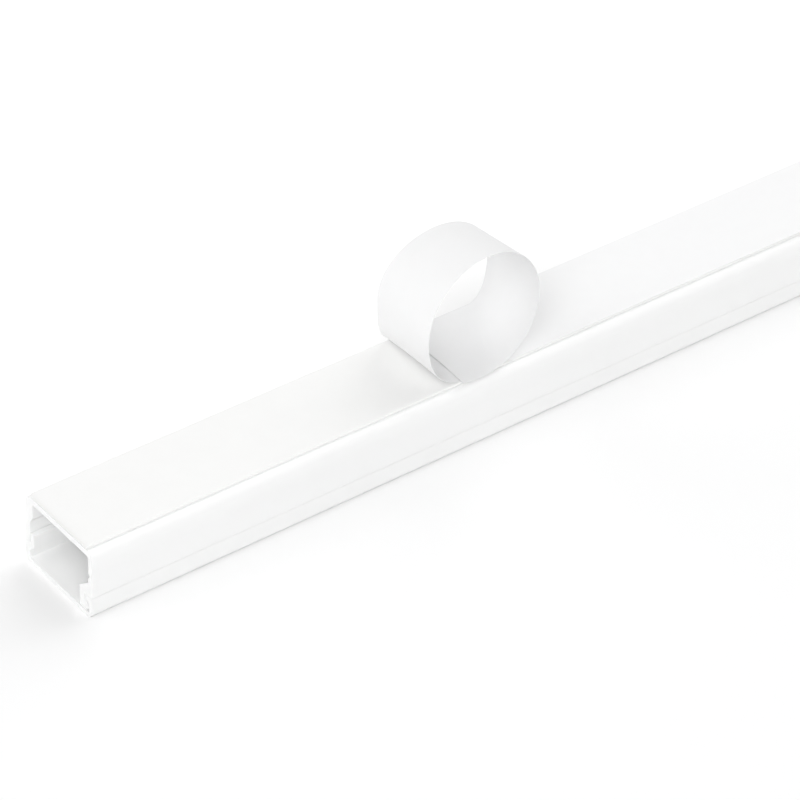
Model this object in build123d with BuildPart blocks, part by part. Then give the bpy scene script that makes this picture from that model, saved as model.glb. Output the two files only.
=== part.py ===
"""Two-piece PVC cord cover raceway, lying cover down with its adhesive back up.

+X runs along the stock, +Y across it to the far side and +Z up. The cover snaps on at the near side and hooks
in at the far side. The origin is at the middle of the cover's face, on the floor.
All sizes are in millimetres, and angles in degrees.
"""
from build123d import *
import math
import os

# Overall section and cut length
length = 400.0
section_width = 25.0
section_height = 18.0

# Base channel, with its thick leg at the near side
wall_thickness = 1.3
back_thickness = 1.5
back_corner_radius = 2.0
inside_corner_radius = 0.6
block_thickness = 4.5
block_height = 1.2
block_slope = 2.6
clip_groove_depth = 0.6
clip_groove_height = 1.6
clip_groove_rise = 1.1
bead_height = 1.0
lead_in = 0.6

# Base channel's far wall, thicker towards the back
far_wall_thickness = 1.7
far_rib_thickness = 1.1
far_rib_height = 3.8
far_rib_slope = 1.6

# Snap cover
plate_thickness = 1.2
skirt_thickness = 1.1
skirt_height = 5.6
cover_corner_radius = 1.5
hook_reach = 1.4
hook_height = 1.4
hook_slope = 0.4
lip_thickness = 1.4
lip_height = 2.4
lip_root_height = 1.0
lip_slope = 1.4

# Fits between the cover and the base
seam_gap = 0.25
snap_clearance = 0.2
hook_room = 0.3

# Foam tape and its release liner
tape_width = 22.0
tape_thickness = 1.0
liner_thickness = 0.2
curl_radius = 15.8
lap_gap = 0.3
tail_angle = 25.0

# Levels and half widths of the section
half_width = section_width / 2
near_end = -length / 2
far_end = length / 2
shoulder_z = skirt_height + seam_gap
skirt_inner_y = half_width - skirt_thickness
hook_y = skirt_inner_y - hook_reach
hook_bottom_z = skirt_height - hook_height
bead_y = skirt_inner_y - snap_clearance
leg_bottom_z = plate_thickness + snap_clearance
bead_top_z = leg_bottom_z + bead_height
pocket_y = hook_y - hook_room
pocket_bottom_z = hook_bottom_z - snap_clearance
block_inner_y = half_width - block_thickness
block_top_z = shoulder_z + block_height
wall_inner_y = half_width - wall_thickness
groove_low_z = block_top_z + block_slope + clip_groove_rise
groove_high_z = groove_low_z + clip_groove_height
back_inner_z = section_height - back_thickness
far_inner_y = half_width - far_wall_thickness
far_rib_y = far_inner_y - far_rib_thickness
far_rib_z = back_inner_z - far_rib_height
lip_outer_y = far_inner_y - snap_clearance
lip_inner_y = lip_outer_y - lip_thickness
lip_root_z = skirt_height - lip_root_height

# Tape and liner levels, and the liner's curl: up round the rise arc, down round the slightly smaller fall arc,
# and then along the inside of the rise arc for the length of the tail
tape_top_z = section_height + tape_thickness
liner_top_z = tape_top_z + liner_thickness
half_liner = liner_thickness / 2
lap_pitch = lap_gap + liner_thickness
fall_radius = curl_radius - lap_pitch / 2
tail_radius = curl_radius - lap_pitch
peeled_length = math.pi * (curl_radius + fall_radius) + math.radians(tail_angle) * tail_radius
peel_x = near_end + peeled_length
rise_centre_z = tape_top_z + half_liner + curl_radius
fall_centre_z = rise_centre_z + curl_radius - fall_radius

os.makedirs("parts", exist_ok=True)

# Base channel: flat back with rounded corners and a wall at each side. The near wall carries a thick leg,
# with a pocket for the cover's hook and a bead below it that the hook snaps over
with BuildPart() as base_channel:
    with BuildSketch(Plane.YZ.offset(near_end)) as base_section:
        with BuildLine():
            Polyline(
                (-half_width, section_height),
                (half_width, section_height),
                (half_width, shoulder_z),
                (far_inner_y, shoulder_z),
                (far_inner_y, far_rib_z - far_rib_slope),
                (far_rib_y, far_rib_z),
                (far_rib_y, back_inner_z),
                (-wall_inner_y, back_inner_z),
                (-wall_inner_y, groove_high_z),
                (-wall_inner_y - clip_groove_depth, (groove_low_z + groove_high_z) / 2),
                (-wall_inner_y, groove_low_z),
                (-wall_inner_y, block_top_z + block_slope),
                (-block_inner_y, block_top_z),
                (-block_inner_y, leg_bottom_z),
                (-bead_y + lead_in, leg_bottom_z),
                (-bead_y, leg_bottom_z + lead_in),
                (-bead_y, bead_top_z),
                (-pocket_y, pocket_bottom_z),
                (-pocket_y, shoulder_z),
                (-half_width, shoulder_z),
                close=True,
            )
        make_face()
        fillet(base_section.vertices().group_by(Axis.Y)[-2], inside_corner_radius)
        fillet(base_section.vertices().group_by(Axis.Y)[-1], back_corner_radius)
    extrude(amount=length)
base_channel.part.label = "base_channel"
export_step(base_channel.part, "parts/base_channel.step")

# Snap cover: flat plate with two low skirts. The near one has a hook along its top edge, and the far one a lip
# that stands up inside the base's far wall
with BuildPart() as snap_cover:
    with BuildSketch(Plane.YZ.offset(near_end)) as cover_section:
        with BuildLine():
            Polyline(
                (-half_width, 0),
                (-half_width, skirt_height),
                (-hook_y, skirt_height),
                (-hook_y, hook_bottom_z),
                (-skirt_inner_y, hook_bottom_z - hook_slope),
                (-skirt_inner_y, plate_thickness),
                (far_inner_y, plate_thickness),
                (far_inner_y, lip_root_z - lip_slope),
                (lip_inner_y, lip_root_z),
                (lip_inner_y, skirt_height + lip_height),
                (lip_outer_y, skirt_height + lip_height),
                (lip_outer_y, skirt_height),
                (half_width, skirt_height),
                (half_width, 0),
                close=True,
            )
        make_face()
        fillet(cover_section.vertices().group_by(Axis.Y)[0], cover_corner_radius)
    extrude(amount=length)
snap_cover.part.label = "snap_cover"
export_step(snap_cover.part, "parts/snap_cover.step")

# Foam tape: one strip down the middle of the base's back
with BuildPart() as foam_tape:
    with BuildSketch(Plane.YZ.offset(near_end)):
        with Locations((0, section_height + tape_thickness / 2)):
            Rectangle(tape_width, tape_thickness)
    extrude(amount=length)
foam_tape.part.label = "foam_tape"
export_step(foam_tape.part, "parts/foam_tape.step")

# Release liner: still stuck down from the peel line to the far end, and rolled back on itself before it
with BuildPart() as release_liner:
    with BuildSketch(Plane.XZ):
        with BuildLine():
            rise_centre = (peel_x, rise_centre_z)
            fall_centre = (peel_x, fall_centre_z)
            tail_end = 270 - tail_angle
            outer_rise = CenterArc(rise_centre, curl_radius + half_liner, 270, -180)
            outer_fall = CenterArc(fall_centre, fall_radius + half_liner, 90, -180)
            outer_tail = CenterArc(rise_centre, tail_radius + half_liner, 270, -tail_angle)
            inner_tail = CenterArc(rise_centre, tail_radius - half_liner, tail_end, tail_angle)
            inner_fall = CenterArc(fall_centre, fall_radius - half_liner, 270, 180)
            inner_rise = CenterArc(rise_centre, curl_radius - half_liner, 90, 180)
            Line(outer_tail @ 1, inner_tail @ 0)
            Polyline(inner_rise @ 1, (far_end, liner_top_z), (far_end, tape_top_z), outer_rise @ 0)
        make_face()
    extrude(amount=tape_width / 2, both=True)
release_liner.part.label = "release_liner"
export_step(release_liner.part, "parts/release_liner.step")
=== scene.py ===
"""Studio scene of a two-piece PVC cord cover raceway whose tape liner is partly peeled back.

The file is laid out as an add-on and is run as a script. Every piece is a surface worked out with numpy,
in metres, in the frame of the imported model: +X along the stock, +Y across it, +Z up, and the floor at zero.
"""
import math
import bpy
import numpy as np
from bpy.props import FloatProperty, FloatVectorProperty, PointerProperty
from bpy.types import Operator, Panel, PropertyGroup
from mathutils import Matrix, Vector


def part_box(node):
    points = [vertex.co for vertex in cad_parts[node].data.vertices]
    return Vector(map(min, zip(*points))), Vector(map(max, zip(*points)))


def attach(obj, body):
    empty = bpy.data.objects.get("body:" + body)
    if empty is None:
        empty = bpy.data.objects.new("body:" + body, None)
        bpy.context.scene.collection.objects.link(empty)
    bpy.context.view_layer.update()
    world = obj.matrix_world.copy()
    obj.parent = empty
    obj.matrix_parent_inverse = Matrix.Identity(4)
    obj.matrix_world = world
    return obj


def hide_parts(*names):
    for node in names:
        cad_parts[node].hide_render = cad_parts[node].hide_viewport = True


bl_info = {
    "name": "Cord cover raceway",
    "version": (1, 0, 0),
    "blender": (4, 5, 0),
    "location": "3D View > Sidebar > Raceway",
    "description": "Dresses the solids of a cord cover raceway as extruded PVC, foam tape and paper liner",
    "category": "Object",
}

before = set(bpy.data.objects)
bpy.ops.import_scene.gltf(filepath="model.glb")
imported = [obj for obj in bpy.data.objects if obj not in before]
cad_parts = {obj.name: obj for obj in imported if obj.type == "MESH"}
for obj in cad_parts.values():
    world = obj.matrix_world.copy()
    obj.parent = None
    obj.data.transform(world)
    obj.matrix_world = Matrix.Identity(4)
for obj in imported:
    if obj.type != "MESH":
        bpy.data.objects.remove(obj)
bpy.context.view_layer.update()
BASE_LOW, BASE_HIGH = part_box("base_channel")
COVER_LOW, COVER_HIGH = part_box("snap_cover")
TAPE_LOW, TAPE_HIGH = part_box("foam_tape")
NEAR_END, FAR_END = BASE_LOW.x, BASE_HIGH.x
HALF_WIDTH = BASE_HIGH.y
TAPE_WIDTH = TAPE_HIGH.y - TAPE_LOW.y

MM = 0.001

# Picture's width in pixels, camera's sensor in millimetres and clipping distances in metres
PICTURE_WIDTH = 800
SENSOR_WIDTH = 36.0
CLIP_START, CLIP_END = 0.05, 50.0

# Points on a rounded corner, spacing round and along the extrusions and the tape, and the liner's grid
ARC_STEPS = 9
BASE_SPACING, COVER_SPACING, BAR_STEP = 0.7 * MM, 0.9 * MM, 10 * MM
TAPE_SPACING, TAPE_STEP = 1.1 * MM, 1.5 * MM
STUCK_ROWS, ROLL_ROWS, LINER_COLUMNS = 90, 320, 36

# Power that crowds the stuck liner's rows towards the peel line
CROWDING = 0.7
# Share, rate and phase of each sine in the wander of the tape's cut edges
WANDER_SINES = ((0.5, 1.0, 1.0), (0.3, 2.3, 4.0), (0.2, 7.1, 2.0))
# Faces of the tape whose normal rises less than this look sideways
SIDEWAYS_RISE = 0.7
# Shares of X, Y and Z in noise that is drawn out along the stock, and in noise drawn out across a sawn end
ALONG_STOCK, ACROSS_END = (0.004, 1.0, 1.0), (1.0, 0.15, 1.0)
# Refractive index of the pieces' surfaces
SURFACE_IOR = 1.5
# Depth of the floor under the cover's face
FLOOR_DROP = 0.02 * MM


def size(name, description, default):
    """A length property in metres."""
    return FloatProperty(name=name, description=description, default=default, unit="LENGTH", precision=5)


def share(name, description, default):
    """A property from 0 to 1."""
    return FloatProperty(name=name, description=description, default=default, min=0.0, max=1.0,
                         subtype="FACTOR")


def turn(name, description, degrees):
    """An angle property, with its default given in degrees."""
    return FloatProperty(name=name, description=description, default=math.radians(degrees), subtype="ANGLE")


def edges(name, description, near, far, unit="LENGTH"):
    """A pair of values, one at the liner's near edge and one at its far edge, and straight in between."""
    return FloatVectorProperty(name=name, description=description + ", at the near edge and at the far edge",
                               default=(near, far), size=2, unit=unit, precision=5)


def colour(name, description, default):
    """A linear colour property."""
    return FloatVectorProperty(name=name, description=description, default=default, size=3, min=0.0, max=1.0,
                               subtype="COLOR")


def power(name, description, default):
    """A lamp's power in watts."""
    return FloatProperty(name=name, description=description, default=default, unit="POWER")


def point(name, description, default):
    """A point in metres."""
    return FloatVectorProperty(name=name, description=description, default=default, size=3,
                               subtype="TRANSLATION")


class RACEWAY_PG_section(PropertyGroup):
    """Sizes of the base's and the cover's extruded sections."""
    wall: size("Wall", "Thickness of the base's near wall", 1.3 * MM)
    back: size("Back", "Thickness of the base's back", 1.5 * MM)
    back_corner: size("Back corner", "Outside radius where the walls meet the back", 2.0 * MM)
    inside_corner: size("Inside corner", "Inside radius where the walls meet the back", 0.6 * MM)
    block: size("Leg", "Thickness of the leg along the near wall's free edge", 4.5 * MM)
    block_height: size("Leg height", "Height of the leg's inner face above the shoulder", 1.2 * MM)
    block_slope: size("Leg slope", "Rise of the leg's sloping top towards the wall", 2.6 * MM)
    groove_depth: size("Groove depth", "Depth of the clip groove inside the near wall", 0.6 * MM)
    groove_height: size("Groove height", "Height of the clip groove", 1.6 * MM)
    groove_rise: size("Groove rise", "Height of the clip groove above the leg's slope", 1.1 * MM)
    bead_height: size("Bead height", "Height of the bead that the cover's hook snaps over", 1.0 * MM)
    lead_in: size("Lead-in", "Chamfer at the bottom of the leg", 0.6 * MM)
    far_wall: size("Far wall", "Thickness of the base's far wall and the cover's skirt below it", 1.7 * MM)
    far_rib: size("Far rib", "How far the far wall's rib stands in", 1.1 * MM)
    far_rib_height: size("Far rib height", "Height of the far wall's rib below the back", 3.8 * MM)
    far_rib_slope: size("Far rib slope", "Slope of the rib's lower edge", 1.6 * MM)
    plate: size("Plate", "Thickness of the cover's plate", 1.2 * MM)
    skirt: size("Skirt", "Thickness of the cover's near skirt", 1.1 * MM)
    skirt_height: size("Skirt height", "Height of the cover's skirts above the floor", 5.6 * MM)
    cover_corner: size("Cover corner", "Outside radius of the cover's corners", 1.5 * MM)
    hook_reach: size("Hook reach", "How far the hook stands in from the skirt", 1.4 * MM)
    hook_height: size("Hook height", "Height of the hook's tip", 1.4 * MM)
    hook_slope: size("Hook slope", "Slope of the hook's underside", 0.4 * MM)
    lip: size("Lip", "Thickness of the cover's lip inside the far wall", 1.4 * MM)
    lip_root: size("Lip root", "Depth of the lip's root below the top of the skirt", 1.0 * MM)
    lip_slope: size("Lip slope", "Slope of the lip's root", 1.4 * MM)
    seam: size("Seam", "Gap between the skirts and the base's shoulders, closed up by the hook", 0.02 * MM)
    clearance: size("Clearance", "Clearance of the snap fit", 0.2 * MM)
    hook_room: size("Hook room", "Gap behind the hook and behind the lip", 0.06 * MM)
    arris: size("Arris", "Radius of the small edges that the die leaves", 0.05 * MM)
    end_arris: size("End arris", "Bevel round the sawn ends, less than the arris", 0.04 * MM)
    swell: size("Swell", "How far each wall swells out below the back corner", 0.15 * MM)
    swell_drop: size("Swell drop", "Distance of the swell below the back", 4.1 * MM)
    swell_spread: size("Swell spread", "Spread of the swell", 0.9 * MM)


class RACEWAY_PG_tape(PropertyGroup):
    """Sizes of the foam tape."""
    edge_round: size("Edge round", "Radius of the tape's edges", 0.45 * MM)
    edge_wave: size("Edge wave", "How far the cut edges wander", 0.07 * MM)
    wave_length: size("Wave length", "Length of the slowest wander", 47.0 * MM)


class RACEWAY_PG_liner(PropertyGroup):
    """Sizes of the release liner and its curl, which is a loop at each edge with straight lines between."""
    thickness: size("Thickness", "Thickness of the liner", 0.12 * MM)
    peel: edges("Peel", "Distance of the loop's lowest line from the near end", 105.5 * MM, 109.2 * MM)
    half_length: edges("Half length", "Half the loop's length", 15.4 * MM, 15.7 * MM)
    half_height: edges("Half height", "Half the loop's height", 16.9 * MM, 13.5 * MM)
    lean: edges("Lean", "How far the loop's top leans to the far end", -0.5 * MM, -1.0 * MM)
    foot: edges("Foot", "Power of the loop's rising foot, where 1 is an ellipse and less is flatter",
                0.69, 0.19, "NONE")
    heel: edges("Heel", "Power of the loop's falling foot, where 1 is an ellipse and less is flatter",
                1.0, 0.27, "NONE")
    tail: edges("Tail", "How far the free end goes past a full turn", math.radians(12.6), math.radians(3.3),
                "ROTATION")
    drift: edges("Drift", "How far the roll drifts towards the near side by its top", 1.5 * MM, 0.8 * MM)
    lap: size("Lap", "Gap between the free end and the liner under it", 0.3 * MM)
    lift: size("Lift", "Hair of air between the liner and the tape", 0.03 * MM)


class RACEWAY_PG_finish(PropertyGroup):
    """Colours and finishes."""
    pvc: colour("PVC", "Colour of the extruded PVC", (0.945, 0.948, 0.945))
    pvc_sawn: colour("Sawn PVC", "Colour of the sawn ends", (0.92, 0.923, 0.92))
    foam: colour("Foam", "Colour of the tape's foam", (0.92, 0.92, 0.912))
    adhesive: colour("Adhesive", "Colour of the tape's bare adhesive face", (0.868, 0.868, 0.861))
    paper: colour("Paper", "Colour of the liner's upper side", (0.875, 0.876, 0.878))
    release: colour("Release", "Colour of the liner's silicone side", (0.862, 0.863, 0.865))
    pvc_roughness: share("PVC roughness", "Roughness of the extruded PVC", 0.34)
    sawn_roughness: share("Sawn roughness", "Roughness of the sawn ends", 0.6)
    foam_roughness: share("Foam roughness", "Roughness of the foam", 0.8)
    adhesive_roughness: share("Adhesive roughness", "Roughness of the adhesive face", 0.5)
    paper_roughness: share("Paper roughness", "Roughness of the liner's two sides", 0.42)
    pvc_through: share("PVC through", "Share of the light that passes under the PVC's surface", 0.3)
    pvc_depth: size("PVC depth", "Mean distance that light passes in the PVC", 0.6 * MM)
    paper_through: share("Paper through", "Share of the light that passes into the liner", 0.15)
    paper_depth: size("Paper depth", "Mean distance that light passes in the liner", 0.4 * MM)


class RACEWAY_PG_stage(PropertyGroup):
    """Floor, light and camera."""
    floor: colour("Floor", "Colour of the floor", (0.85, 0.85, 0.85))
    # The far lift above the near lift is painted light: it paints the floor behind the raceway white over its
    # shadow.
    near_lift: share("Near lift", "White that the floor in front shows on top of its lit colour", 0.085)
    far_lift: share("Far lift", "White that the floor behind shows on top of its lit colour", 0.24)
    lift_reach: size("Lift reach", "How far behind the raceway's middle the far lift is reached", 60.0 * MM)
    floor_reach: size("Floor reach", "Half the floor's side", 4.0)
    sky: FloatProperty(name="Sky", description="Strength of the even light from all round", default=0.28)
    front_power: power("Front power", "Power of the front softbox", 93.0)
    front_side: size("Front side", "Side of the front softbox", 2.4)
    front_place: point("Front place", "Place of the front softbox", (-2.2, -2.2, 2.2))
    left_power: power("Left power", "Power of the left softbox", 44.0)
    left_side: size("Left side", "Side of the left softbox", 3.6)
    left_place: point("Left place", "Place of the left softbox", (-2.4, 1.8, 1.95))
    right_power: power("Right power", "Power of the right softbox", 60.0)
    right_side: size("Right side", "Side of the right softbox", 3.6)
    right_place: point("Right place", "Place of the right softbox", (2.1, 0.45, 2.45))
    focal_pixels: FloatProperty(name="Focal length", description="Focal length in pixels of the picture",
                                default=3985.26, subtype="PIXEL")
    azimuth: turn("Azimuth", "Turn of the camera to the left of the square view of the near side", 39.987)
    elevation: turn("Elevation", "Height of the camera above the floor's plane", 37.787)
    roll: turn("Roll", "Tilt of the camera about its own axis", 3.419)
    distance: size("Distance", "Distance of the camera from its aim", 914.105 * MM)
    aim: point("Aim", "Point on the floor that the camera looks at", (-98.806 * MM, 10.416 * MM, 0.0))


# Outlines and sweeps


def smooth_step(values):
    """A rise from 0 to 1 that starts and ends level: three times the square less twice the cube."""
    held = np.clip(values, 0, 1)
    return held ** 2 * (3 - 2 * held)


def rounded_outline(corners, radii):
    """Each corner of the closed outline becomes the arc of its radius that touches both sides of the corner.

    The arc's centre lies on the corner's bisector, at the radius over the sine of half the corner's angle.
    """
    back = np.roll(corners, 1, axis=0) - corners
    ahead = np.roll(corners, -1, axis=0) - corners
    back = back / np.linalg.norm(back, axis=1, keepdims=True)
    ahead = ahead / np.linalg.norm(ahead, axis=1, keepdims=True)
    half_angle = np.arccos(np.clip((back * ahead).sum(axis=1), -1, 1)) / 2
    bisector = (back + ahead) / np.linalg.norm(back + ahead, axis=1, keepdims=True)
    centre = corners + bisector * (radii / np.sin(half_angle))[:, None]
    reach = (radii / np.tan(half_angle))[:, None]
    first, last = corners + back * reach - centre, corners + ahead * reach - centre
    start = np.arctan2(first[:, 1], first[:, 0])
    sweep = (np.arctan2(last[:, 1], last[:, 0]) - start + np.pi) % (2 * np.pi) - np.pi
    angles = start[:, None] + sweep[:, None] * np.linspace(0, 1, ARC_STEPS)
    arcs = centre[:, None] + radii[:, None, None] * np.stack([np.cos(angles), np.sin(angles)], axis=-1)
    return arcs.reshape(-1, 2)


def with_even_points(outline, spacing):
    """The outline with more points, at even steps of its running length and clear of its own points."""
    closed = np.vstack([outline, outline[:1]])
    along = np.concatenate([[0], np.cumsum(np.linalg.norm(np.diff(closed, axis=0), axis=1))])
    steps = np.arange(0, along[-1], spacing)
    nearest = np.abs(steps[:, None] - along[None]).min(axis=1)
    places = np.sort(np.concatenate([along[:-1], steps[nearest > spacing / 4]]))
    return np.stack([np.interp(places, along, closed[:, k]) for k in (0, 1)], axis=1)


def outline_normals(outline):
    """Outward normals of a clockwise outline: the chord between a point's neighbours, turned to the left."""
    chord = np.roll(outline, -1, axis=0) - np.roll(outline, 1, axis=0)
    normal = np.stack([-chord[:, 1], chord[:, 0]], axis=1)
    return normal / np.linalg.norm(normal, axis=1, keepdims=True)


def mirrored(corners, radii):
    """A half section's corners and radii, followed by their mirror image in reverse."""
    half = np.array(corners)
    return np.vstack([half, half[::-1] * (-1, 1)]), np.concatenate([radii, radii[::-1]])


def grid_quads(rows, columns, wrap):
    """Corner numbers of the quads of a grid of points, closed across its columns if wrap is true."""
    starts = np.arange(columns if wrap else columns - 1)
    row, column = np.meshgrid(np.arange(rows - 1), starts, indexing="ij")
    beside = (column + 1) % columns
    here, ahead = row * columns, (row + 1) * columns
    quads = [here + column, ahead + column, ahead + beside, here + beside]
    return np.stack(quads, axis=-1).reshape(-1, 4)


def new_piece(name, points, faces, face_slots, materials, loop_normals=None):
    """A mesh object at the origin from whole arrays of points, faces and material numbers."""
    mesh = bpy.data.meshes.new(name)
    mesh.from_pydata(points.tolist(), [], faces)
    mesh.polygons.foreach_set("material_index", np.asarray(face_slots, np.int32))
    mesh.polygons.foreach_set("use_smooth", np.ones(len(faces), bool))
    for material in materials:
        mesh.materials.append(material)
    mesh.update()
    if mesh.validate():
        raise RuntimeError(f"the mesh of {name} has faces that don't fit together")
    if loop_normals is not None:
        mesh.normals_split_custom_set(loop_normals.tolist())
    piece = bpy.data.objects.new(name, mesh)
    bpy.context.scene.collection.objects.link(piece)
    return piece


def sawn_bar(name, outline, stations, end_bevel, body, sawn, wander=None):
    """The outline carried along X through the stations, with a flat sawn face and a small bevel at each end.

    A point is the station's x with the outline's y and z, moved in by the bevel along the outline's normal
    at the first and last station. The wander, if there is one, gives each point a small move of its own.
    """
    normals = outline_normals(outline)
    inset = np.zeros(len(stations))
    inset[[0, -1]] = end_bevel
    section = outline[None] - normals[None] * inset[:, None, None]
    along = np.broadcast_to(stations[:, None, None], section.shape[:2] + (1,))
    points = np.concatenate([along, section], axis=2)
    if wander is not None:
        points = points + wander(points)
    count = len(outline)
    quads = grid_quads(len(stations), count, wrap=True)
    near_cap = np.arange(count)
    far_cap = ((len(stations) - 1) * count + near_cap)[::-1]
    faces = quads.tolist() + [near_cap.tolist(), far_cap.tolist()]
    slots = np.concatenate([np.zeros(len(quads)), [1, 1]])
    ring = np.concatenate([np.zeros((count, 1)), normals], axis=1)
    sides = np.tile(ring, (len(stations), 1))[quads.ravel()]
    caps = np.repeat([[-1.0, 0.0, 0.0], [1.0, 0.0, 0.0]], count, axis=0)
    return new_piece(name, points.reshape(-1, 3), faces, slots, [body, sawn], np.concatenate([sides, caps]))


def bar_stations(bevel, spacing):
    """Even stations from end to end, with one more at the inner edge of each end's bevel."""
    count = round((FAR_END - NEAR_END) / spacing) + 1
    inner = np.linspace(NEAR_END + bevel, FAR_END - bevel, count)
    return np.concatenate([[NEAR_END], inner, [FAR_END]])


# Node helpers and shared effects


def add_node(tree, kind, values=None, **settings):
    """A new node with its settings, and constants for its named or numbered inputs."""
    node = tree.nodes.new(kind)
    for key, value in settings.items():
        setattr(node, key, value)
    for key, value in (values or {}).items():
        node.inputs[key].default_value = value
    return node


def new_effect(name, inputs):
    """An empty shader node group with a Vector input, named float inputs, and Height and Tone outputs."""
    tree = bpy.data.node_groups.new(name, "ShaderNodeTree")
    tree.interface.new_socket(name="Vector", in_out="INPUT", socket_type="NodeSocketVector")
    for label, default in inputs:
        socket = tree.interface.new_socket(name=label, in_out="INPUT", socket_type="NodeSocketFloat")
        socket.default_value = default
    for label in ("Height", "Tone"):
        tree.interface.new_socket(name=label, in_out="OUTPUT", socket_type="NodeSocketFloat")
    return tree, add_node(tree, "NodeGroupInput"), add_node(tree, "NodeGroupOutput")


def streak_effect():
    """Die lines: noise drawn out along X, fine in Height and broad in Tone."""
    tree, inside, out = new_effect("extrusion_streaks",
                                   [("Lines per metre", 1500.0), ("Bands per metre", 260.0)])
    for label, output, detail in (("Lines per metre", "Height", 5.0), ("Bands per metre", "Tone", 3.0)):
        drawn = add_node(tree, "ShaderNodeVectorMath", {1: ALONG_STOCK}, operation="MULTIPLY")
        noise = add_node(tree, "ShaderNodeTexNoise", {"Detail": detail, "Roughness": 0.6})
        tree.links.new(inside.outputs["Vector"], drawn.inputs[0])
        tree.links.new(drawn.outputs[0], noise.inputs["Vector"])
        tree.links.new(inside.outputs[label], noise.inputs["Scale"])
        tree.links.new(noise.outputs["Fac"], out.inputs[output])
    return tree


def grain_effect():
    """Even grain: fine noise in Height and slow mottling in Tone."""
    tree, inside, out = new_effect("fine_grain", [("Grains per metre", 4000.0), ("Mottles per metre", 90.0)])
    for label, output, detail in (("Grains per metre", "Height", 3.0), ("Mottles per metre", "Tone", 4.0)):
        noise = add_node(tree, "ShaderNodeTexNoise", {"Detail": detail, "Roughness": 0.55})
        tree.links.new(inside.outputs["Vector"], noise.inputs["Vector"])
        tree.links.new(inside.outputs[label], noise.inputs["Scale"])
        tree.links.new(noise.outputs["Fac"], out.inputs[output])
    return tree


def saw_effect():
    """Saw marks: slightly bent bands in Height, and noise drawn out along the same bands in Tone."""
    tree, inside, out = new_effect("saw_marks", [("Teeth per metre", 1300.0)])
    wave = add_node(tree, "ShaderNodeTexWave", {"Distortion": 2.5, "Detail": 3.0, "Detail Scale": 1.5},
                    bands_direction="Z")
    tree.links.new(inside.outputs["Vector"], wave.inputs["Vector"])
    tree.links.new(inside.outputs["Teeth per metre"], wave.inputs["Scale"])
    tree.links.new(wave.outputs["Fac"], out.inputs["Height"])
    drawn = add_node(tree, "ShaderNodeVectorMath", {1: ACROSS_END}, operation="MULTIPLY")
    noise = add_node(tree, "ShaderNodeTexNoise", {"Detail": 4.0})
    tree.links.new(inside.outputs["Vector"], drawn.inputs[0])
    tree.links.new(drawn.outputs[0], noise.inputs["Vector"])
    tree.links.new(inside.outputs["Teeth per metre"], noise.inputs["Scale"])
    tree.links.new(noise.outputs["Fac"], out.inputs["Tone"])
    return tree


def cell_effect():
    """Foam cells: distance to the nearest cell's middle in Height, and each cell's own grey in Tone."""
    tree, inside, out = new_effect("foam_cells", [("Cells per metre", 3800.0)])
    cells = add_node(tree, "ShaderNodeTexVoronoi", {"Randomness": 1.0})
    grey = add_node(tree, "ShaderNodeSeparateColor")
    tree.links.new(inside.outputs["Vector"], cells.inputs["Vector"])
    tree.links.new(inside.outputs["Cells per metre"], cells.inputs["Scale"])
    tree.links.new(cells.outputs["Distance"], out.inputs["Height"])
    tree.links.new(cells.outputs["Color"], grey.inputs[0])
    tree.links.new(grey.outputs[0], out.inputs["Tone"])
    return tree


EFFECTS = {
    "extrusion_streaks": streak_effect,
    "fine_grain": grain_effect,
    "saw_marks": saw_effect,
    "foam_cells": cell_effect,
}


def effect(name):
    """The shared effect's node group, built the first time that it is asked for."""
    return bpy.data.node_groups.get(name) or EFFECTS[name]()


def finish_material(name, tint, roughness, effects, coordinates="Object", tone_depth=0.03,
                    roughness_depth=0.06, through=0.0, light_depth=0.0):
    """A Principled material whose colour, roughness and bump follow a list of effects.

    Each effect is its name, its bump height in metres, its share of the tone and its own input values. The
    tones are added up about their middle. Times the tone depth they scale the colour, and times the
    roughness depth they add to the roughness. A share of the light passes into the material, over the
    light's depth.
    """
    material = bpy.data.materials.new(name)
    material.use_nodes = True
    tree = material.node_tree
    shader = tree.nodes["Principled BSDF"]
    shader.inputs["IOR"].default_value = SURFACE_IOR
    shader.inputs["Subsurface Weight"].default_value = through
    shader.inputs["Subsurface Radius"].default_value = (1.0, 1.0, 1.0)
    shader.inputs["Subsurface Scale"].default_value = light_depth
    place = add_node(tree, "ShaderNodeTexCoord")
    tone, normal = None, None
    for effect_name, height, weight, values in effects:
        group = add_node(tree, "ShaderNodeGroup", node_tree=effect(effect_name))
        for key, value in values.items():
            group.inputs[key].default_value = value
        tree.links.new(place.outputs[coordinates], group.inputs["Vector"])
        bump = add_node(tree, "ShaderNodeBump", {"Strength": 1.0, "Distance": height})
        tree.links.new(group.outputs["Height"], bump.inputs["Height"])
        if normal is not None:
            tree.links.new(normal, bump.inputs["Normal"])
        normal = bump.outputs["Normal"]
        part = add_node(tree, "ShaderNodeMath", {1: 0.5, 2: 0.0}, operation="SUBTRACT")
        tree.links.new(group.outputs["Tone"], part.inputs[0])
        total = add_node(tree, "ShaderNodeMath", {1: weight, 2: 0.0}, operation="MULTIPLY_ADD")
        tree.links.new(part.outputs[0], total.inputs[0])
        if tone is not None:
            tree.links.new(tone, total.inputs[2])
        tone = total.outputs[0]
    light = add_node(tree, "ShaderNodeMath", {1: tone_depth, 2: 1.0}, operation="MULTIPLY_ADD")
    tree.links.new(tone, light.inputs[0])
    shade = add_node(tree, "ShaderNodeVectorMath", {0: tuple(tint)}, operation="SCALE")
    tree.links.new(light.outputs[0], shade.inputs["Scale"])
    tree.links.new(shade.outputs[0], shader.inputs["Base Color"])
    rough = add_node(tree, "ShaderNodeMath", {1: roughness_depth, 2: roughness}, operation="MULTIPLY_ADD")
    tree.links.new(tone, rough.inputs[0])
    tree.links.new(rough.outputs[0], shader.inputs["Roughness"])
    tree.links.new(normal, shader.inputs["Normal"])
    return material


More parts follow.
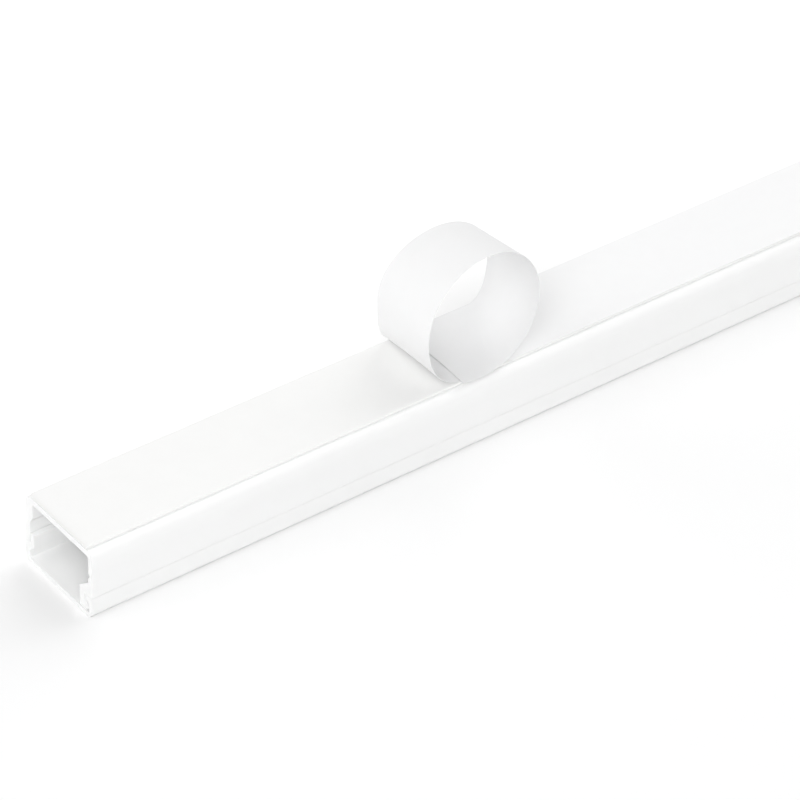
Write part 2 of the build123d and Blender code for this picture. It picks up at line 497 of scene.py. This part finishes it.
def pvc_material(finish, name):
    """Satin extruded PVC: die lines along the stock over a faint orange peel."""
    effects = [
        ("extrusion_streaks", 0.004 * MM, 0.8, {}),
        ("fine_grain", 0.002 * MM, 0.4, {"Grains per metre": 2500.0, "Mottles per metre": 60.0}),
    ]
    return finish_material(name, finish.pvc, finish.pvc_roughness, effects,
                           through=finish.pvc_through, light_depth=finish.pvc_depth)


def sawn_material(finish, name):
    """Sawn PVC: tooth marks and torn grain, duller than the extruded faces."""
    effects = [
        ("saw_marks", 0.03 * MM, 0.8, {}),
        ("fine_grain", 0.02 * MM, 0.5, {"Grains per metre": 6000.0, "Mottles per metre": 700.0}),
    ]
    return finish_material(name, finish.pvc_sawn, finish.sawn_roughness, effects, tone_depth=0.06,
                           through=finish.pvc_through, light_depth=finish.pvc_depth)


def adhesive_material(finish):
    """Bare adhesive over foam: soft mottling and cells that print through."""
    effects = [
        ("fine_grain", 0.012 * MM, 0.8, {"Grains per metre": 1600.0, "Mottles per metre": 160.0}),
        ("foam_cells", 0.01 * MM, 0.12, {"Cells per metre": 2600.0}),
    ]
    return finish_material("tape_adhesive", finish.adhesive, finish.adhesive_roughness, effects,
                           tone_depth=0.04)


def foam_material(finish):
    """Cut foam: open cells along the tape's sides and ends."""
    effects = [
        ("foam_cells", 0.03 * MM, 0.4, {}),
        ("fine_grain", 0.02 * MM, 0.6, {"Grains per metre": 5000.0, "Mottles per metre": 400.0}),
    ]
    return finish_material("tape_foam_cut", finish.foam, finish.foam_roughness, effects, tone_depth=0.08)


def paper_material(finish, name, tint):
    """Coated liner paper: faint paper formation and a fine tooth, laid out on the strip's own flat map."""
    effects = [
        ("fine_grain", 0.004 * MM, 0.8, {"Grains per metre": 3000.0, "Mottles per metre": 320.0}),
        ("extrusion_streaks", 0.002 * MM, 0.3, {"Lines per metre": 900.0, "Bands per metre": 120.0}),
    ]
    return finish_material(name, tint, finish.paper_roughness, effects, coordinates="UV",
                           through=finish.paper_through, light_depth=finish.paper_depth)


def dress(piece, body, node):
    """The piece rides on its body and stands for the solid, which is hidden."""
    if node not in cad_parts:
        raise RuntimeError(f"the packed model has no solid named {node}")
    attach(piece, body)
    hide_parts(node)


# Pieces


class RACEWAY_OT_channel(Operator):
    """Base channel: a U section with rounded back corners, a thick leg at one wall and a rib at the other"""
    bl_idname = "raceway.channel"
    bl_label = "Base channel"

    def execute(self, context):
        s, finish = context.scene.raceway_section, context.scene.raceway_finish
        outline = with_even_points(rounded_outline(*self.corners(s)), BASE_SPACING)
        outline = self.swollen(outline, s)
        piece = sawn_bar("base_extrusion", outline, bar_stations(s.end_arris, BAR_STEP), s.end_arris,
                         pvc_material(finish, "base_pvc"), sawn_material(finish, "base_pvc_sawn"))
        dress(piece, "base", "base_channel")
        return {"FINISHED"}

    @staticmethod
    def corners(s):
        """The section's corners and their radii, clockwise from the far back corner."""
        top, leg_low = BASE_HIGH.z, BASE_LOW.z
        shoulder = s.skirt_height + s.seam
        ceiling = top - s.back
        far_inner = HALF_WIDTH - s.far_wall
        rib = far_inner - s.far_rib
        rib_low = ceiling - s.far_rib_height
        near_inner = s.wall - HALF_WIDTH
        skirt_inner = s.skirt - HALF_WIDTH
        pocket = skirt_inner + s.hook_reach + s.hook_room
        pocket_low = s.skirt_height - s.hook_height - s.clearance
        bead = skirt_inner + s.clearance
        leg = s.block - HALF_WIDTH
        leg_top = shoulder + s.block_height
        groove_low = leg_top + s.block_slope + s.groove_rise
        far_wall = [(HALF_WIDTH, top), (HALF_WIDTH, shoulder), (far_inner, shoulder),
                    (far_inner, rib_low - s.far_rib_slope), (rib, rib_low)]
        ceiling_ends = [(rib, ceiling), (near_inner, ceiling)]
        near_wall = [(near_inner, groove_low + s.groove_height),
                     (near_inner - s.groove_depth, groove_low + s.groove_height / 2),
                     (near_inner, groove_low), (near_inner, leg_top + s.block_slope),
                     (leg, leg_top), (leg, leg_low), (bead + s.lead_in, leg_low),
                     (bead, leg_low + s.lead_in), (bead, leg_low + s.bead_height), (pocket, pocket_low),
                     (pocket, shoulder), (-HALF_WIDTH, shoulder), (-HALF_WIDTH, top)]
        corners = np.array(far_wall + ceiling_ends + near_wall)
        radii = np.full(len(corners), s.arris)
        radii[[0, -1]] = s.back_corner
        radii[len(far_wall):len(far_wall) + 2] = s.inside_corner
        return corners, radii

    @staticmethod
    def swollen(outline, s):
        """The outline with a soft swell on its outer walls: a bell curve of the height, none on the back."""
        depth = (np.abs(outline[:, 0]) - HALF_WIDTH + s.back_corner) / s.back_corner
        bell = np.exp(-(((outline[:, 1] - BASE_HIGH.z + s.swell_drop) / s.swell_spread) ** 2) / 2)
        moved = outline.copy()
        moved[:, 0] += np.sign(outline[:, 0]) * s.swell * bell * smooth_step(depth)
        return moved


class RACEWAY_OT_cover(Operator):
    """Snap cover: a flat plate with a hook along its near skirt and a lip along its far one"""
    bl_idname = "raceway.cover"
    bl_label = "Snap cover"

    def execute(self, context):
        s, finish = context.scene.raceway_section, context.scene.raceway_finish
        outline = with_even_points(rounded_outline(*self.corners(s)), COVER_SPACING)
        piece = sawn_bar("cover_extrusion", outline, bar_stations(s.end_arris, BAR_STEP), s.end_arris,
                         pvc_material(finish, "cover_pvc"), sawn_material(finish, "cover_pvc_sawn"))
        dress(piece, "cover", "snap_cover")
        return {"FINISHED"}

    @staticmethod
    def corners(s):
        """The section's corners and their radii, clockwise from the top of the far skirt."""
        low, lip_top, skirt_top = COVER_LOW.z, COVER_HIGH.z, s.skirt_height
        far_inner = HALF_WIDTH - s.far_wall
        lip_outer = far_inner - s.hook_room
        lip_inner = lip_outer - s.lip
        lip_low = skirt_top - s.lip_root
        near_inner = s.skirt - HALF_WIDTH
        hook = near_inner + s.hook_reach
        hook_low = skirt_top - s.hook_height
        corners = np.array([
            (HALF_WIDTH, skirt_top), (HALF_WIDTH, low), (-HALF_WIDTH, low), (-HALF_WIDTH, skirt_top),
            (hook, skirt_top), (hook, hook_low), (near_inner, hook_low - s.hook_slope),
            (near_inner, low + s.plate), (far_inner, low + s.plate), (far_inner, lip_low - s.lip_slope),
            (lip_inner, lip_low), (lip_inner, lip_top), (lip_outer, lip_top), (lip_outer, skirt_top),
        ])
        radii = np.full(len(corners), s.arris)
        radii[1:3] = s.cover_corner
        return corners, radii


class RACEWAY_OT_tape(Operator):
    """Foam tape: a flat strip with softly rounded, slightly wandering cut edges"""
    bl_idname = "raceway.tape"
    bl_label = "Foam tape"

    def execute(self, context):
        s, finish = context.scene.raceway_tape, context.scene.raceway_finish
        corners = [(TAPE_HIGH.y, TAPE_HIGH.z), (TAPE_HIGH.y, TAPE_LOW.z)]
        radii = np.full(len(corners), s.edge_round)
        outline = with_even_points(rounded_outline(*mirrored(corners, radii)), TAPE_SPACING)
        piece = sawn_bar("tape_strip", outline, bar_stations(s.edge_round, TAPE_STEP), s.edge_round,
                         adhesive_material(finish), foam_material(finish),
                         wander=lambda points: self.wander(points, s))
        self.cut_sides(piece)
        dress(piece, "base", "foam_tape")
        return {"FINISHED"}

    @staticmethod
    def wander(points, s):
        """Sideways wander of the cut edges: three sines of x of uneven lengths, in a phase for each side."""
        x, side = points[..., 0], np.sign(points[..., 1])
        edge = np.abs(points[..., 1]) > TAPE_HIGH.y - 2 * s.edge_round
        turns = 2 * np.pi * x / s.wave_length
        wave = sum(part * np.sin(rate * turns + phase * side) for part, rate, phase in WANDER_SINES)
        moved = np.zeros_like(points)
        moved[..., 1] = side * edge * s.edge_wave * (wave - 1)
        return moved

    @staticmethod
    def cut_sides(piece):
        """Gives the foam's material to the faces that look sideways."""
        faces = piece.data.polygons
        normals = np.zeros(len(faces) * 3, np.float32)
        faces.foreach_get("normal", normals)
        sideways = np.abs(normals.reshape(-1, 3)[:, 2]) < SIDEWAYS_RISE
        faces.foreach_set("material_index", sideways.astype(np.int32))


class RACEWAY_OT_liner(Operator):
    """Release liner: a thin strip stuck down along the tape and rolled back in one leaning turn"""
    bl_idname = "raceway.liner"
    bl_label = "Release liner"

    def execute(self, context):
        s, finish = context.scene.raceway_liner, context.scene.raceway_finish
        middle, flat = self.strip(s)
        along = np.gradient(middle, axis=0)
        across = np.gradient(middle, axis=1)
        normal = np.cross(along, across)
        normal /= np.linalg.norm(normal, axis=2, keepdims=True)
        sides = [paper_material(finish, "liner_paper", finish.paper),
                 paper_material(finish, "liner_release", finish.release)]
        piece = self.thin_solid("liner_strip", middle, normal, flat, s.thickness, sides)
        dress(piece, "base", "release_liner")
        return {"FINISHED"}

    @staticmethod
    def strip(s):
        """The strip's middle surface, from its far end to its free end, and its flat map.

        Up to the peel line it lies on the tape. From there x is the peel line less the loop's half length
        times the sine of the turn, plus the lean times the height's share, and z rises by the half height
        times one less the cosine. In the loop's lower half the sine's size is raised to the power of the
        foot or the heel, which flattens the loop where it stands. In its last quarter the loop draws in by
        the lap. The roll drifts sideways in a smooth step on its way up. The pairs of values run straight
        from the near edge to the far one.
        """
        v = np.linspace(0, 1, LINER_COLUMNS)[None]

        def between(pair):
            return pair[0] + (pair[1] - pair[0]) * v

        peel = NEAR_END + between(s.peel)
        half_length, half_height = between(s.half_length), between(s.half_height)
        stuck = np.linspace(0, 1, STUCK_ROWS, endpoint=False)[:, None] ** CROWDING
        turned = np.linspace(0, 1, ROLL_ROWS)[:, None] * (2 * np.pi + between(s.tail))
        sine, cosine = np.sin(turned), np.cos(turned)
        draw_in = s.lap * smooth_step((turned - 1.5 * np.pi) / (0.5 * np.pi))
        exponent = np.where(cosine > 0, np.where(sine > 0, between(s.foot), between(s.heel)), 1.0)
        swing = np.sign(sine) * np.abs(sine) ** exponent
        x_stuck = FAR_END + (peel - FAR_END) * stuck
        x_roll = peel - (half_length - draw_in) * swing + between(s.lean) * (1 - cosine) / 2
        z_roll = half_height - (half_height - draw_in) * cosine
        drift = -between(s.drift) * smooth_step(turned / np.pi)
        x = np.vstack([x_stuck, x_roll])
        y = TAPE_LOW.y + TAPE_WIDTH * v + np.vstack([0 * x_stuck, drift])
        z = TAPE_HIGH.z + s.lift + s.thickness / 2 + np.vstack([0 * x_stuck, z_roll])
        middle = np.stack([x, y, z], axis=-1)
        steps = np.linalg.norm(np.diff(middle, axis=0), axis=2)
        run = np.vstack([0 * x[:1], np.cumsum(steps, axis=0)])
        flat = np.stack([run, np.broadcast_to(TAPE_WIDTH * v, run.shape)], axis=-1)
        return middle, flat

    @staticmethod
    def thin_solid(name, middle, normal, flat, thickness, sides):
        """A closed solid of even thickness: the middle surface moved half of it each way, and a rim.

        The side that the normals point to, which lies on the tape, takes the second material.
        """
        rows, columns = middle.shape[:2]
        release = (middle + normal * thickness / 2).reshape(-1, 3)
        paper = (middle - normal * thickness / 2).reshape(-1, 3)
        count = rows * columns
        sheet = grid_quads(rows, columns, wrap=False)
        number = np.arange(count).reshape(rows, columns)
        rim = np.concatenate([number[:, 0], number[-1, 1:], number[-2::-1, -1], number[0, -2:0:-1]])
        ahead = np.roll(rim, -1)
        wall = np.stack([rim, rim + count, ahead + count, ahead], axis=1)
        faces = np.concatenate([sheet, sheet[:, ::-1] + count, wall])
        points = np.concatenate([release, paper])
        outward = np.cross(points[ahead] - points[rim], normal.reshape(-1, 3)[rim])
        outward /= np.linalg.norm(outward, axis=1, keepdims=True)
        over = normal.reshape(-1, 3)
        loops = np.concatenate([over[sheet.ravel()], -over[sheet[:, ::-1].ravel()],
                                np.repeat(outward, 4, axis=0)])
        slots = np.arange(len(faces)) < len(sheet)
        piece = new_piece(name, points, faces.tolist(), slots, sides, loops)
        layer = piece.data.uv_layers.new(name="strip")
        flat_map = np.tile(flat.reshape(-1, 2), (2, 1))[faces.ravel()]
        layer.uv.foreach_set("vector", flat_map.astype(np.float32).ravel())
        return piece


# Stage


class RACEWAY_OT_stage(Operator):
    """Stage: a white floor that keeps its shadow in front and is painted white over its shadow behind the
    raceway, even light with three softboxes, and the camera
    """
    bl_idname = "raceway.stage"
    bl_label = "Stage"

    def execute(self, context):
        s = context.scene.raceway_stage
        self.floor(s)
        self.light(context.scene, s)
        self.camera(context.scene, s)
        context.scene.view_settings.view_transform = "Standard"
        return {"FINISHED"}

    @staticmethod
    def seen_directly(tree):
        """A value of 1 on camera rays and on those mirrored or let through, and 0 on scattered light."""
        path = add_node(tree, "ShaderNodeLightPath")
        either = add_node(tree, "ShaderNodeMath", operation="MAXIMUM")
        any_of = add_node(tree, "ShaderNodeMath", operation="MAXIMUM")
        tree.links.new(path.outputs["Is Camera Ray"], either.inputs[0])
        tree.links.new(path.outputs["Is Glossy Ray"], either.inputs[1])
        tree.links.new(either.outputs[0], any_of.inputs[0])
        tree.links.new(path.outputs["Is Transmission Ray"], any_of.inputs[1])
        return any_of.outputs[0]

    def floor(self, s):
        """A square floor just under the cover, its lit colour lifted to white where it is seen directly.

        The lift is graded, and this is painted light: it rises in a smooth step from the raceway's near side
        to a line behind it, so the floor behind the raceway is painted white over the raceway's shadow while
        the floor in front keeps its shadow.
        """
        corners = np.array([(-1, -1), (1, -1), (1, 1), (-1, 1)]) * s.floor_reach
        points = np.column_stack([corners, np.full(len(corners), -FLOOR_DROP)])
        material = bpy.data.materials.new("studio_floor")
        material.use_nodes = True
        tree = material.node_tree
        tree.nodes.clear()
        matt = add_node(tree, "ShaderNodeBsdfDiffuse", {"Color": (*s.floor, 1.0)})
        lift = add_node(tree, "ShaderNodeEmission")
        place = add_node(tree, "ShaderNodeTexCoord")
        split = add_node(tree, "ShaderNodeSeparateXYZ")
        # Painted light: the lift grows from front to back, painting white over the shadow behind the raceway.
        painted_lift_grade = add_node(tree, "ShaderNodeMapRange", {"From Min": -HALF_WIDTH, "From Max": s.lift_reach,
                                                       "To Min": s.near_lift, "To Max": s.far_lift},
                          interpolation_type="SMOOTHSTEP")
        level = add_node(tree, "ShaderNodeMath", operation="MULTIPLY")
        both = add_node(tree, "ShaderNodeAddShader")
        out = add_node(tree, "ShaderNodeOutputMaterial")
        tree.links.new(place.outputs["Object"], split.inputs[0])
        tree.links.new(split.outputs["Y"], painted_lift_grade.inputs["Value"])
        tree.links.new(self.seen_directly(tree), level.inputs[0])
        tree.links.new(painted_lift_grade.outputs["Result"], level.inputs[1])
        tree.links.new(level.outputs[0], lift.inputs["Strength"])
        tree.links.new(matt.outputs[0], both.inputs[0])
        tree.links.new(lift.outputs[0], both.inputs[1])
        tree.links.new(both.outputs[0], out.inputs["Surface"])
        new_piece("studio_floor", points, [[0, 1, 2, 3]], [0], [material])

    def light(self, scene, s):
        """Even light from a pale world that is white where it is seen directly, and three softboxes."""
        world = bpy.data.worlds.new("studio_world")
        world.use_nodes = True
        scene.world = world
        tree = world.node_tree
        tree.nodes.clear()
        lit = add_node(tree, "ShaderNodeBackground", {"Strength": s.sky})
        white = add_node(tree, "ShaderNodeBackground", {"Strength": 1.0})
        for background in (lit, white):
            background.inputs["Color"].default_value = (1.0, 1.0, 1.0, 1.0)
        either = add_node(tree, "ShaderNodeMixShader")
        out = add_node(tree, "ShaderNodeOutputWorld")
        tree.links.new(self.seen_directly(tree), either.inputs["Fac"])
        tree.links.new(lit.outputs[0], either.inputs[1])
        tree.links.new(white.outputs[0], either.inputs[2])
        tree.links.new(either.outputs[0], out.inputs["Surface"])
        for name, side, watts, place in (("front_softbox", s.front_side, s.front_power, s.front_place),
                                         ("left_softbox", s.left_side, s.left_power, s.left_place),
                                         ("right_softbox", s.right_side, s.right_power, s.right_place)):
            self.softbox(scene, name, side, watts, Vector(place), Vector(s.aim))

    @staticmethod
    def softbox(scene, name, side, watts, place, target):
        """A square area lamp that faces its target."""
        light = bpy.data.lights.new(name, "AREA")
        light.size = side
        light.energy = watts
        lamp = bpy.data.objects.new(name, light)
        scene.collection.objects.link(lamp)
        facing = (target - place).to_track_quat("-Z", "Y")
        lamp.matrix_world = Matrix.Translation(place) @ facing.to_matrix().to_4x4()

    @staticmethod
    def camera(scene, s):
        """A camera at its distance from the aim, turned by azimuth and elevation and rolled on its axis."""
        level, height = math.cos(s.elevation), math.sin(s.elevation)
        back = Vector((-math.sin(s.azimuth) * level, -math.cos(s.azimuth) * level, height))
        right = Vector((math.cos(s.azimuth), -math.sin(s.azimuth), 0.0))
        up = back.cross(right)
        rolled_right = right * math.cos(s.roll) + up * math.sin(s.roll)
        rolled_up = up * math.cos(s.roll) - right * math.sin(s.roll)
        lens = bpy.data.cameras.new("view")
        lens.sensor_width = SENSOR_WIDTH
        lens.lens = s.focal_pixels * SENSOR_WIDTH / PICTURE_WIDTH
        lens.clip_start, lens.clip_end = CLIP_START, CLIP_END
        view = bpy.data.objects.new("view", lens)
        scene.collection.objects.link(view)
        turned = Matrix((rolled_right, rolled_up, back)).transposed().to_4x4()
        view.matrix_world = Matrix.Translation(Vector(s.aim) + back * s.distance) @ turned
        scene.camera = view


class RACEWAY_PT_panel(Panel):
    """Lists the pieces and the stage in the sidebar"""
    bl_idname = "RACEWAY_PT_panel"
    bl_label = "Cord cover raceway"
    bl_space_type = "VIEW_3D"
    bl_region_type = "UI"
    bl_category = "Raceway"

    def draw(self, context):
        for operator in OPERATORS:
            self.layout.operator(operator.bl_idname)
        for name in SETTINGS:
            settings = getattr(context.scene, name)
            column = self.layout.column(heading=name)
            for key in settings.__annotations__:
                column.prop(settings, key)


SETTINGS = {
    "raceway_section": RACEWAY_PG_section,
    "raceway_tape": RACEWAY_PG_tape,
    "raceway_liner": RACEWAY_PG_liner,
    "raceway_finish": RACEWAY_PG_finish,
    "raceway_stage": RACEWAY_PG_stage,
}
OPERATORS = (RACEWAY_OT_channel, RACEWAY_OT_cover, RACEWAY_OT_tape, RACEWAY_OT_liner, RACEWAY_OT_stage)
CLASSES = (*SETTINGS.values(), *OPERATORS, RACEWAY_PT_panel)


def register():
    """Registers the classes and hangs the settings on the scene."""
    for cls in CLASSES:
        bpy.utils.register_class(cls)
    for name, group in SETTINGS.items():
        setattr(bpy.types.Scene, name, PointerProperty(type=group))


def unregister():
    """Takes the settings and the classes away again."""
    for name in SETTINGS:
        delattr(bpy.types.Scene, name)
    for cls in reversed(CLASSES):
        bpy.utils.unregister_class(cls)


def main():
    """Builds every piece and the stage."""
    register()
    bpy.ops.raceway.channel()
    bpy.ops.raceway.cover()
    bpy.ops.raceway.tape()
    bpy.ops.raceway.liner()
    bpy.ops.raceway.stage()


if __name__ == "__main__":
    main()
